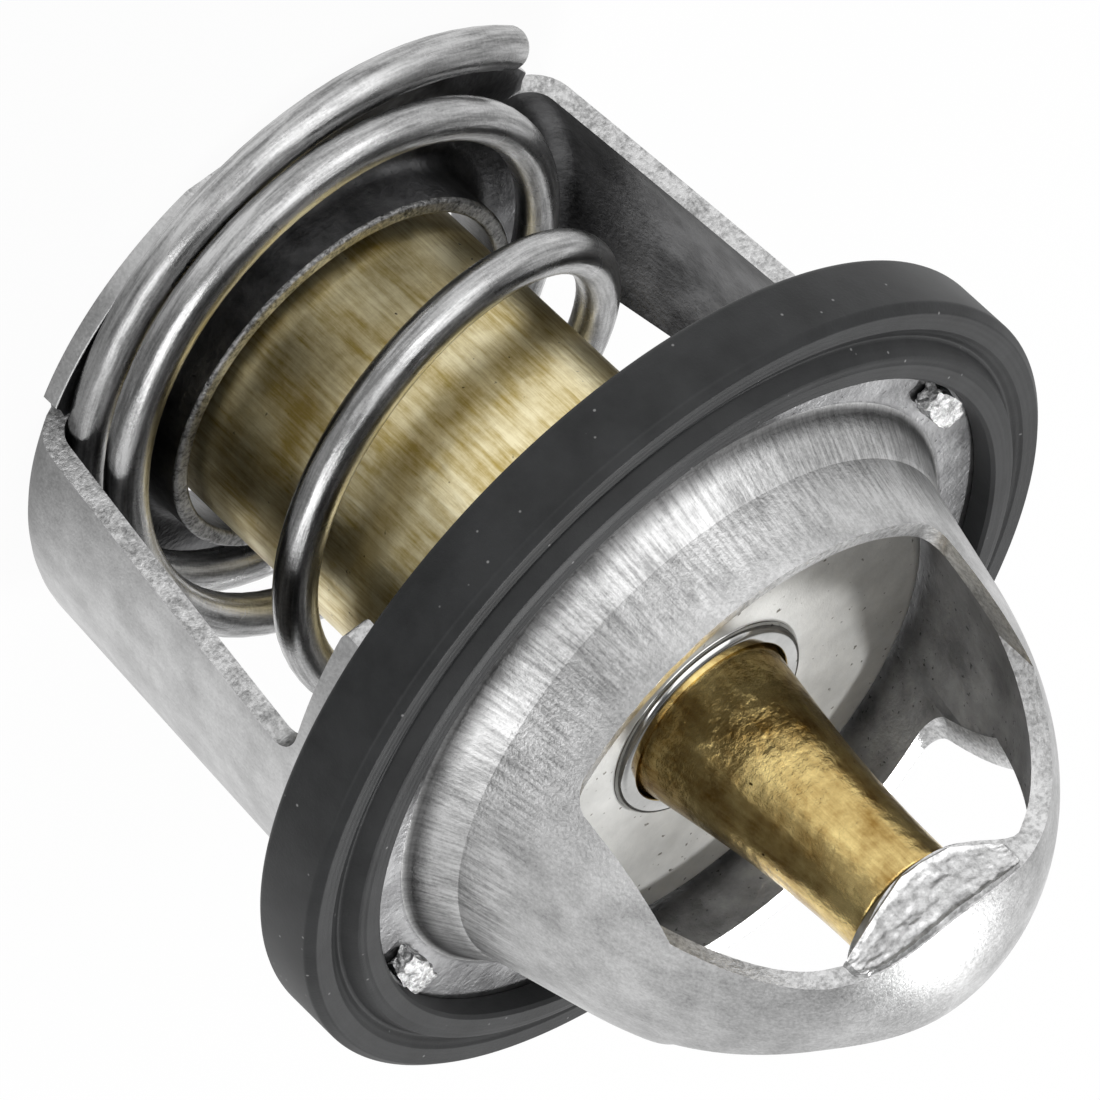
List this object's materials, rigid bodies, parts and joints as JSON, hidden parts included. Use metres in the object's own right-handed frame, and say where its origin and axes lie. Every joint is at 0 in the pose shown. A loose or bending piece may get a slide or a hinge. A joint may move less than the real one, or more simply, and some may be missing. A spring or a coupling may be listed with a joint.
{
  "type": "engine coolant valve",
  "caption": "Wax-element engine coolant valve: arched bridge, rubber-rimmed flange, brass element and a coned return spring held in a strap frame.",
  "frame": {"origin": "centre of the rubber rim's outer wall, on the valve's axis", "axes": "+Z along the axis, out of the bridge's apex; the bridge's arms and the spring frame's straps lie on +X and -X"},
  "size_m": [0.04, 0.04, 0.0426],
  "materials": {
    "bridge_steel": "drawn and tumbled stainless sheet",
    "frame_steel": "stamped and tumbled stainless sheet",
    "rim_rubber": "moulded, satin",
    "valve_steel": "bright, polished",
    "spring_steel": "drawn wire",
    "cup_brass": "satin, drawn",
    "guide_brass": "burnished",
    "wax": "waxy",
    "diaphragm_rubber": "moulded",
    "paste": "greasy",
    "plug_rubber": "moulded",
    "disc_plastic": "smooth",
    "piston_steel": "ground"
  },
  "bodies": {
    "frame": {"bridge_frame": "bridge_steel", "spring_frame": "frame_steel", "rim_gasket": "rim_rubber", "piston": "piston_steel", "rubber_plug": "plug_rubber", "backup_disc": "disc_plastic", "return_spring": "spring_steel"},
    "valve": {"valve_plate": "valve_steel", "wax_cup": "cup_brass", "guide": "guide_brass", "wax_charge": "wax", "diaphragm": "diaphragm_rubber", "transfer_paste": "paste"}
  },
  "joints": [
    {"name": "valve_lift", "type": "slide", "parent": "frame", "child": "valve", "axis": [0, 0, -1], "range_m": [0, 0.008], "stiffness_N_per_m": 9000, "springref_m": -0.006, "deforming": ["return_spring"]}
  ]
}
